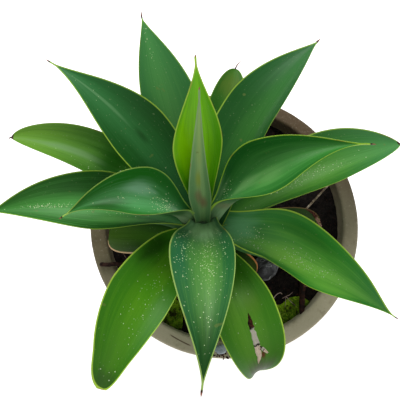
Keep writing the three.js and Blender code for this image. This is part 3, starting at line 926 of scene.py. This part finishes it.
def straight(profile, spacing=7 * MM):
    """A profile with points added on its long straight stretches."""
    dense = [profile[0]]
    for (r0, z0), (r1, z1) in zip(profile, profile[1:]):
        parts = max(1, round(math.hypot(r1 - r0, z1 - z0) / spacing))
        dense += [(r0 + (r1 - r0) * k / parts, z0 + (z1 - z0) * k / parts) for k in range(1, parts + 1)]
    return dense


def pot_profile():
    height, rim, edge = POT.height, POT.rim_radius, POT.edge
    band_bottom = height - POT.rim_depth
    return straight(
        [(POT.hub, 0)]
        + quarter(POT.foot_radius - edge, edge, -90, 0)
        + [(POT.neck_radius, band_bottom - POT.under_rim), (rim - POT.band_taper, band_bottom)]
        + quarter(rim - edge, height - edge, 0, 90)
        + quarter(rim - POT.rim_width + edge, height - edge, 90, 180)
        + [(float(pot_inside(band_bottom)), band_bottom), (float(pot_inside(POT.floor)), POT.floor)]
        + [(POT.hub, POT.floor)]
    )


def cast(point, strength=0.5 * MM):
    """How far a point of the cast stone lies off its true surface."""
    slow = noise.noise(point * 14)
    pits = max(0.0, noise.noise(point * 160) - 0.35)
    return strength * (0.8 * slow - 2.0 * pits)


def pot_mesh():
    """The pot, its sides and rim slightly uneven. The underside and the floor's middle are flat."""
    profile = pot_profile()
    points = []
    for r, z in profile:
        flat = z < 1 * MM or r < POT.drain_circle * 2
        on_top = z >= POT.height - MM
        for cos, sin in circle(POT.segments):
            off = 0.0 if flat else abs(cast(Vector((r * cos, r * sin, z))))
            points.append(((r - off) * cos, (r - off) * sin, z - off if on_top else z))
    return mesh_from("pot", points, tube_faces(len(profile), POT.segments))


def drain_cutter(index):
    angle = math.radians(90 + 360 * index / POT.drain_count)
    x, y = POT.drain_circle * math.cos(angle), POT.drain_circle * math.sin(angle)
    points = [
        (x + POT.drain_radius * cos, y + POT.drain_radius * sin, z)
        for z in (-POT.floor, 2 * POT.floor)
        for cos, sin in circle(POT.drain_sides)
    ]
    return add_object("cutter", mesh_from("drain", points, tube_faces(2, POT.drain_sides)))


def scratch(x, y, z, away):
    """The curved scratch on top of the rim, at the lower left of the photograph."""
    start, end, radius, slope = -0.083, -0.049, 0.1946, 0.13
    off = abs(away - ((x - start) * slope + radius))
    front = (y < 0.0) * (z > POT.height - 2 * MM)
    within = x.fade(start, start + 6 * MM) * x.fade(end, end - 6 * MM)
    return within * front * off.fade(1.3 * MM, 0.5 * MM)


def pot_paint():
    """Weathered stone: lighter towards the photograph's viewer and its right, earthy at the far right, with
    the inner wall stained darker below its lip and a damp foot. The lightening towards the viewer is painted
    light that lifts the shade on the rim, and the inner wall's lighter right side is painted light that lifts
    its shade."""
    paint = Paint("pot", 0.85)
    x, y, z = paint.parts(paint.place)
    clouds = paint.noise(9.0, 4.0, 0.6)
    grain = paint.noise(260.0, 4.0, 0.7)
    streaks = paint.noise(60.0, 4.0, at=(x, y, z * 0.12))
    paint.tone = paint.mix(clouds.fade(0.35, 0.68), "#5e523a", "#766b50")
    paint.layer("#958d74", (x * 0.8 - y).fade(-0.05, 0.22) * 0.85)
    # Painted light: the rim is lighter towards the front, lifting its shade.
    paint.layer("#beb69a", y.fade(-0.04, -0.18, 0.8))
    paint.layer("#54422c", (x + y).fade(0.19, 0.28, 0.85))
    paint.layer("#6b5a44", streaks.fade(0.55, 0.75, 0.35))
    paint.layer("#55493a", grain.fade(0.58, 0.75, 0.5))
    paint.layer("#c4bba6", grain.fade(0.42, 0.28, 0.4))
    away = paint.math("SQRT", x * x + y * y)
    lip = POT.rim_radius - POT.rim_width
    inner = (away + paint.noise(40.0) * (6 * MM)).fade(lip + 3 * MM, lip - 1 * MM)
    paint.layer("#3d3024", inner * (z.fade(0.1, 0.25) * 0.15))
    # Painted light: the inner wall is lighter on its right side, lifting its shade.
    paint.layer("#b8a888", inner * x.fade(0.08, 0.15, 0.6))
    paint.layer("#5a5040", (z + clouds * 0.08).fade(0.1, 0.03, 0.45))
    paint.layer("#5e4c3a", scratch(x, y, z, away))
    paint.connect(grain.fade(0.3, 0.7, 0.95, 0.75), "Roughness")
    return paint.finish(grain + clouds * 0.5, 0.9 * MM, 0.6)


def make_pot():
    cutters = [drain_cutter(i) for i in range(POT.drain_count)]
    add_piece("pot_piece", pot_mesh(), pot_paint(), "pot", "pot", sharp=40, cutters=cutters)
    remove(cutters)


# ---- soil and what lies on it


def soil_height(x, y):
    swell = math.sin(x / SOIL.wave_x + SOIL.start_x) * math.cos(y / SOIL.wave_y + SOIL.start_y)
    waves = swell + math.sin((x + y) / SOIL.ripple) / 2
    away = math.hypot(x - STEM.x, y - STEM.y) / SOIL.mound_radius
    return SOIL.level + SOIL.bump * waves + SOIL.mound * math.exp(-away * away / 2)


def soil_top(x, y):
    """The soil's surface with its clods."""
    spot = Vector((x, y, 0))
    clods = sum(share * noise.noise(spot * scale) for scale, share in SOIL.clods)
    return soil_height(x, y) + SOIL.grain * (clods - 0.2)


def make_soil():
    bottom = POT.floor + SOIL.gap
    sides = np.linspace(bottom, POT.height - POT.rim_depth, SOIL.side_rings)
    reach = float(pot_inside(SOIL.level)) - SOIL.gap
    rings = [(SOIL.inner, bottom)] + [(float(pot_inside(z)) - SOIL.gap, z) for z in sides]
    rings += [(reach * i / SOIL.rings, None) for i in range(SOIL.rings, 0, -1)]
    points = []
    for radius, height in rings:
        for cos, sin in circle(SOIL.segments):
            x, y = radius * cos, radius * sin
            points.append((x, y, soil_top(x, y) if height is None else height))
    mesh = mesh_from("soil", points, tube_faces(len(rings), SOIL.segments))
    add_piece("soil_piece", mesh, soil_paint(), "soil", "soil")


def soil_paint():
    paint = Paint("soil", 0.9, 0.2)
    clods = paint.noise(150.0, 5.0, 0.7)
    crumbs = paint.value("ShaderNodeTexVoronoi", {"Vector": paint.place, "Scale": 330.0}, "Distance")
    paint.tone = paint.mix(clods.fade(0.35, 0.7), "#040201", "#160c07")
    paint.layer("#2c1a10", crumbs.fade(0.25, 0.12, 0.4))
    paint.layer("#5c432c", paint.noise(700.0, 1.0).fade(0.7, 0.76, 0.6))
    paint.connect(clods.fade(0.3, 0.7, 0.75, 0.98), "Roughness")
    return paint.finish(clods + crumbs, 1.2 * MM, 0.8)


# A crumb: the spans of its stretch along X, Y and Z, how far it turns, how jagged it is, how fast that
# changes from one crumb to the next, and how far it stands up, as a share of its radius.
LUMP = SimpleNamespace(
    stretch=((0.7, 1.5), (0.7, 1.2), (0.5, 0.9)), turn=6.28, jag=0.3, apart=900, lift=0.3
)


def grains(count, seed, spot, sizes):
    """Many small rough lumps as one mesh. spot() gives the place of each, and sizes its radius."""
    rng = random.Random(seed)
    bm = bmesh.new()
    bmesh.ops.create_icosphere(bm, subdivisions=1, radius=1)
    lump = [v.co.copy() for v in bm.verts]
    patches = [tuple(v.index for v in face.verts) for face in bm.faces]
    bm.free()
    parts = []
    small, large = sizes
    for _ in range(count):
        x, y, z = spot(rng)
        radius = small + (large - small) * rng.random() ** 3
        stretch = Vector([rng.uniform(*span) for span in LUMP.stretch]) * radius
        # Two separate angles, so that a lump is skewed as well as turned.
        cos, sin = math.cos(rng.random() * LUMP.turn), math.sin(rng.random() * LUMP.turn)
        points = []
        for v in lump:
            jag = 1 + LUMP.jag * noise.noise(v * 2 + Vector((x, y, z)) * LUMP.apart)
            a, b = v.x * stretch.x * jag, v.y * stretch.y * jag
            up = v.z * stretch.z * jag + radius * LUMP.lift
            points.append((x + a * cos - b * sin, y + a * sin + b * cos, z + up))
        parts.append((points, patches))
    return joined("grains", parts)


def speckled(name, low, high, scale=400.0, roughness=0.9):
    """A rough matt material whose colour wanders between two others."""
    paint = Paint(name, roughness, 0.25)
    patches = paint.noise(scale / 4, 3.0, 0.6)
    fine = paint.noise(scale, 3.0, 0.6)
    paint.tone = paint.mix(patches.fade(0.35, 0.65), low, high)
    paint.layer(low, fine.fade(0.5, 0.7, 0.6))
    return paint.finish(fine + patches, 0.5 * MM, 0.6)


def on_soil(rng):
    """A place on the open soil."""
    reach = float(pot_inside(SOIL.level)) - SOIL.edge
    while True:
        x, y = rng.uniform(-reach, reach), rng.uniform(-reach, reach)
        from_stem = math.hypot(x - STEM.x, y - STEM.y - SOIL.clear_y)
        if math.hypot(x, y) < reach and from_stem > SOIL.clear:
            return x, y, soil_top(x, y)


def on_rim(rng):
    """A place beside the pebble, on the top of the rim."""
    x, y = (middle + rng.gauss(0, spread) * MM for middle, spread in zip(PEBBLE_LITTER, LITTER_SPREAD))
    return x, y, POT.height


def make_crumbs():
    for name, count, spot, sizes, material in (
        ("soil_crumbs", 1300, on_soil, (0.6 * MM, 2.6 * MM), speckled("crumbs", "#070302", "#32180e")),
        ("pale_crumbs", 120, on_soil, (0.4 * MM, 1.3 * MM), speckled("grit", "#4a3c2c", "#8a7a62")),
        ("bark_crumbs", 46, on_rim, (0.6 * MM, 2.0 * MM), speckled("bark_crumbs", "#1c0a06", "#5a2a1c")),
    ):
        add_piece(name, grains(count, name, spot, sizes), material, "soil", sharp=35)


# ---- moss

MOSS = [
    SimpleNamespace(node="moss_southeast", x=105, y=-151, rx=40, ry=25, up=4),
    SimpleNamespace(node="moss_southwest", x=-78, y=-151, rx=15, ry=23, up=5),
]
CUSHION = SimpleNamespace(
    depth=5, edge=1, dome=2.4, ragged=0.12, frayed=0.07, clearance=0.6, segments=60, rings=16
)
SHOOTS = SimpleNamespace(count=3600, splay=0.6, half_width=(0.3, 0.6), depth=0.6, height=(1.6, 4.2))


def cushion_point(patch, share, angle):
    """A point of a cushion's top, in millimetres, kept inside the pot."""
    ragged = 1 + CUSHION.ragged * math.sin(3 * angle + patch.x) + CUSHION.frayed * math.sin(5 * angle)
    x = patch.x + patch.rx * ragged * share * math.cos(angle)
    y = patch.y + patch.ry * ragged * share * math.sin(angle)
    inside = float(pot_inside(SOIL.level)) / MM - CUSHION.clearance
    away = math.hypot(x, y)
    if away > inside:
        x, y = x * inside / away, y * inside / away
    lumps = noise.noise(Vector((x, y, 0)) * 0.11) * 2.2 + noise.noise(Vector((x, y, 9)) * 0.4)
    z = SOIL.level / MM + patch.up * (1 - share**CUSHION.dome) + CUSHION.edge + lumps * (1 - share)
    return Vector((x, y, z))


def moss_mesh(patch):
    """A lumpy cushion with a coat of tiny pointed shoots."""
    size, rows = CUSHION.segments, CUSHION.rings
    points = []
    for i in range(rows, 0, -1):
        points += [cushion_point(patch, i / rows, 2 * math.pi * j / size) for j in range(size)]
    points = [Vector((p.x, p.y, SOIL.level / MM - CUSHION.depth)) for p in points[:size]] + points
    faces = tube_faces(rows + 1, size)
    rng = random.Random(patch.node)
    for _ in range(SHOOTS.count):
        root = cushion_point(patch, rng.random() ** 0.5, rng.random() * 2 * math.pi)
        lean = Vector((rng.gauss(0, SHOOTS.splay), rng.gauss(0, SHOOTS.splay), 1)).normalized()
        side = lean.cross(Vector((rng.gauss(0, 1), rng.gauss(0, 1), 0.2))).normalized()
        side = side * rng.uniform(*SHOOTS.half_width)
        deep = lean.cross(side) * SHOOTS.depth
        a, b, c, tip = range(len(points), len(points) + 4)
        points += [root - side - deep, root + side - deep, root + deep]
        points.append(root + lean * rng.uniform(*SHOOTS.height))
        faces += [(a, b, tip), (b, c, tip), (c, a, tip), (c, b, a)]
    return mesh_from(patch.node, [p * MM for p in points], faces)


def moss_paint():
    paint = Paint("moss", 0.9, 0.15)
    shoots = paint.noise(480.0, 2.0)
    paint.tone = paint.mix(paint.noise(55.0, 3.0).fade(0.38, 0.62), "#56820c", "#9cc824")
    # Painted highlights: light yellow-green flecks on the shoots.
    paint.layer("#a8b840", shoots.fade(0.48, 0.66, 0.85))
    paint.layer("#2c1c0a", paint.noise(90.0, 3.0).fade(0.56, 0.64, 0.85))
    return paint.finish(shoots, 1.2 * MM, 0.8)


def make_moss():
    material = moss_paint()
    for patch in MOSS:
        add_piece(patch.node + "_cushion", moss_mesh(patch), material, "moss", patch.node, sharp=None)


# ---- stones

STONES = {
    "dark_stone": SimpleNamespace(x=65, y=-80, z=281, size=(22, 17, 13), turn=35, seed=2, chips=0.16),
    "pebble": SimpleNamespace(x=-8, y=-196, z=306.4, size=(9, 7, 6), turn=10, seed=5, chips=0.03),
}
STONE_COLOURS = {"dark_stone": ("#38383a", "#7c7c80", "#b4b4b6"), "pebble": ("#6f7c84", "#aab6bc", "#c8ced0")}
LUMPS = 0.1
PEBBLE_LITTER = Vector((-7 * MM, -204 * MM))
LITTER_SPREAD = (9, 2.5)  # in millimetres


def stone_mesh(name, stone):
    bm = bmesh.new()
    bmesh.ops.create_icosphere(bm, subdivisions=5, radius=1)
    turn = math.radians(stone.turn)
    for vert in bm.verts:
        v = vert.co.normalized()
        bump = 1 + LUMPS * (math.sin(3 * v.x + stone.seed) + math.cos(4 * v.y - 2 * v.z + stone.seed))
        chip = abs(noise.noise(v * 1.6 + Vector((stone.seed, 0, 0))))
        grain = noise.noise(v * 7) * 0.012
        scale = (bump - stone.chips * chip + grain) * MM
        a, b, c = (v[i] * stone.size[i] * scale for i in range(3))
        x = a * math.cos(turn) - b * math.sin(turn) + stone.x * MM
        y = a * math.sin(turn) + b * math.cos(turn) + stone.y * MM
        vert.co = (x, y, c + stone.z * MM)
    mesh = bpy.data.meshes.new(name)
    bm.to_mesh(mesh)
    bm.free()
    return mesh


def stone_paint(name, low, high, vein):
    paint = Paint(name, 0.6, 0.35)
    clouds = paint.noise(60.0, 4.0, 0.6)
    grain = paint.noise(900.0, 3.0, 0.7)
    veins = paint.noise(38.0, 2.0, 0.5, 1.5)
    paint.tone = paint.mix(clouds.fade(0.36, 0.66), low, high)
    paint.layer(vein, abs(veins - 0.5).fade(0.03, 0.0, 0.7))
    paint.layer(low, grain.fade(0.55, 0.75, 0.4))
    paint.connect(clouds.fade(0.3, 0.7, 0.75, 0.5), "Roughness")
    return paint.finish(grain + clouds, 0.4 * MM, 0.5)


def make_stones():
    for name, stone in STONES.items():
        material = stone_paint(name, *STONE_COLOURS[name])
        add_piece(name + "_piece", stone_mesh(name, stone), material, name, name, sharp=60)


# ---- twigs, stems and roots

# Lying twigs: name, slot, radius, how many strands lie side by side, and the points they run through, all in
# millimetres.
TWIGS = [
    (
        "rim_twig", "bark", 3.3, 1,
        [(-188, -77, 304.1), (-176, -78, 304.1), (-161, -77, 304), (-138, -80, 296), (-100, -84, 275)],
    ),
    ("leaning_stick", "bark", 5.2, 1, [(122, -64, 277), (119, -104, 284), (113, -149, 292)]),
    ("pale_twig", "dry_plant", 1.0, 2, [(126, 6, 274), (150, 31, 283), (174, 56, 296)]),
]
STRANDS_APART = Vector((1.2, -0.9, 0.3))  # in radii
TWIG_COLOURS = {
    "rim_twig": ("#20120e", "#4a3028", "#5c463a"),
    "leaning_stick": ("#160a06", "#3c1f15", "#6a4636"),
    "pale_twig": ("#6c5c4a", "#b4a48c", "#d4c8b4"),
}
# Loose roots and dry strands on the soil, with their radius in millimetres.
ROOTLETS = [
    (0.8, [(74, -127, 279), (78, -121, 283), (84, -118, 284), (88, -120, 281)]),
    (0.6, [(88, -126, 279), (93, -123, 282), (98, -121, 284), (103, -117, 285)]),
    (0.5, [(93, -123, 282), (92, -131, 281), (91, -139, 281)]),
    (0.5, [(93, -123, 283), (99, -130, 283), (107, -137, 282)]),
    (0.6, [(118, -113, 279), (123, -108, 281), (128, -109, 278)]),
    (0.9, [(36, -52, 292), (40, -62, 291), (46, -70, 288), (45, -82, 284), (52, -96, 281)]),
    (0.5, [(-118, -140, 279), (-108, -146, 282), (-98, -143, 278)]),
    (0.5, [(150, -20, 278), (158, -30, 281), (160, -44, 278)]),
    (0.6, [(-150, -70, 278), (-158, -58, 281), (-163, -48, 279)]),
    (0.5, [(60, 120, 278), (74, 128, 281), (90, 126, 278)]),
]


def through(points, count):
    """Places on a smooth curve through the given points, which are in millimetres."""
    p = [Vector(point) * MM for point in points]
    p = [p[0] * 2 - p[1]] + p + [p[-1] * 2 - p[-2]]
    curve = []
    for k in range(count + 1):
        place = k * (len(p) - 3) / count
        i = min(int(place), len(p) - 4)
        t = place - i
        a, b, c, d = p[i : i + 4]
        bend = (2 * a - 5 * b + 4 * c - d) * t * t + (3 * b - 3 * c + d - a) * t**3
        curve.append((2 * b + (c - a) * t + bend) / 2)
    return curve


def tube(points, radius, seed, sides=16, steps=90, knots=0.16, taper=0.25):
    """Points and faces of a rough round stick, its ends broken off."""
    curve = through(points, steps)
    ring_points = []
    for i, middle in enumerate(curve):
        way = (curve[min(i + 1, steps)] - curve[max(i - 1, 0)]).normalized()
        side = way.cross(Vector((0, 0, 1))).normalized()
        up = side.cross(way)
        end = min(i, steps - i) / steps
        share = (1 - taper * i / steps) * min(1.0, 0.75 + end * 9)
        for cos, sin in circle(sides):
            lump = noise.noise(Vector((i * 0.13, seed, 0))) * knots
            ridge = noise.noise(Vector((cos * 2.2, sin * 2.2, i * 0.05 + seed))) * knots
            r = radius * MM * share * (1 + lump + ridge)
            ring_points.append(middle + (side * cos + up * sin) * r)
    return ring_points, tube_faces(steps + 1, sides)


def bark_paint(name, low, high, lichen):
    paint = Paint(name, 0.85, 0.2)
    plates = paint.noise(170.0, 5.0, 0.65, 0.6)
    fine = paint.noise(800.0, 3.0)
    paint.tone = paint.mix(plates.fade(0.4, 0.62), low, high)
    paint.layer(low, fine.fade(0.5, 0.7, 0.5))
    paint.layer(lichen, paint.noise(95.0, 2.0).fade(0.62, 0.7, 0.7))
    return paint.finish(plates + fine, 1.0 * MM, 0.8)


def make_twigs():
    for name, slot, radius, strands, points in TWIGS:
        parts = []
        for strand in range(strands):
            moved = [Vector(point) + STRANDS_APART * strand * radius for point in points]
            parts.append(tube(moved, radius, strand * 3.1 + radius))
        add_piece(name + "_piece", joined(name, parts), bark_paint(name, *TWIG_COLOURS[name]), slot, name)
    roots = []
    for i, (radius, points) in enumerate(ROOTLETS):
        roots.append(tube(points, radius, radius * 40 + i, sides=8, steps=24, knots=0.1, taper=0.6))
    material = speckled("rootlets", "#6a4840", "#b8a096", 500.0, 0.7)
    add_piece("rootlets", joined("rootlets", roots), material, "dry_plant", sharp=60)


# ---- camera, light and floor

CAMERA_PLACE = (-37.7 * MM, -146.4 * MM, 963.8 * MM)
CAMERA_TILT = math.radians(17)  # from straight down towards +Y
LENS = 38.97
SENSOR = 36
CAMERA_SHIFT = -0.05
WHITE = (1, 1, 1, 1)
WORLD_STRENGTH = 0.42
# Lamps: name, place, size and power.
LAMPS = [("sky", (-0.3, 1.9, 2.0), 1.6, 54), ("fill", (0.9, -1.4, 2.2), 2.4, 10)]
LAMPS_AIM = Vector((0, 0, 0.35))
FLOOR_REACH = 6.0
FLOOR_DROP = 0.5 * MM
FLOOR_COLOUR = (0.86, 0.86, 0.85, 1)
FLOOR_GLOW = 0.75


def make_camera():
    data = bpy.data.cameras.new("camera")
    data.lens = LENS
    data.sensor_width = SENSOR
    data.shift_y = CAMERA_SHIFT
    camera = add_object("camera", data)
    camera.location = CAMERA_PLACE
    camera.rotation_euler = (CAMERA_TILT, 0, 0)
    bpy.context.scene.camera = camera


def make_studio():
    world = bpy.data.worlds.new("studio")
    world.use_nodes = True
    world.node_tree.nodes["Background"].inputs["Color"].default_value = WHITE
    world.node_tree.nodes["Background"].inputs["Strength"].default_value = WORLD_STRENGTH
    bpy.context.scene.world = world
    bpy.context.scene.view_settings.view_transform = "Standard"
    for name, place, size, power in LAMPS:
        data = bpy.data.lights.new(name, "AREA")
        data.size = size
        data.energy = power
        light = add_object(name, data)
        light.location = place
        light.rotation_euler = (LAMPS_AIM - Vector(place)).to_track_quat("-Z", "Y").to_euler()


def make_floor():
    side = FLOOR_REACH
    points = [(-side, -side, 0), (side, -side, 0), (side, side, 0), (-side, side, 0)]
    floor = add_object("floor", mesh_from("floor", points, [(0, 1, 2, 3)]))
    floor.location.z = -FLOOR_DROP
    glow = {"emission_color": WHITE, "emission_strength": FLOOR_GLOW}
    floor.data.materials.append(Paint("floor", 0.9, base_color=FLOOR_COLOUR, **glow).material)


make_camera()
make_studio()
make_floor()
make_leaves()
make_dead_tissue()
make_drops()
make_pot()
make_soil()
make_crumbs()
make_moss()
make_stones()
make_twigs()
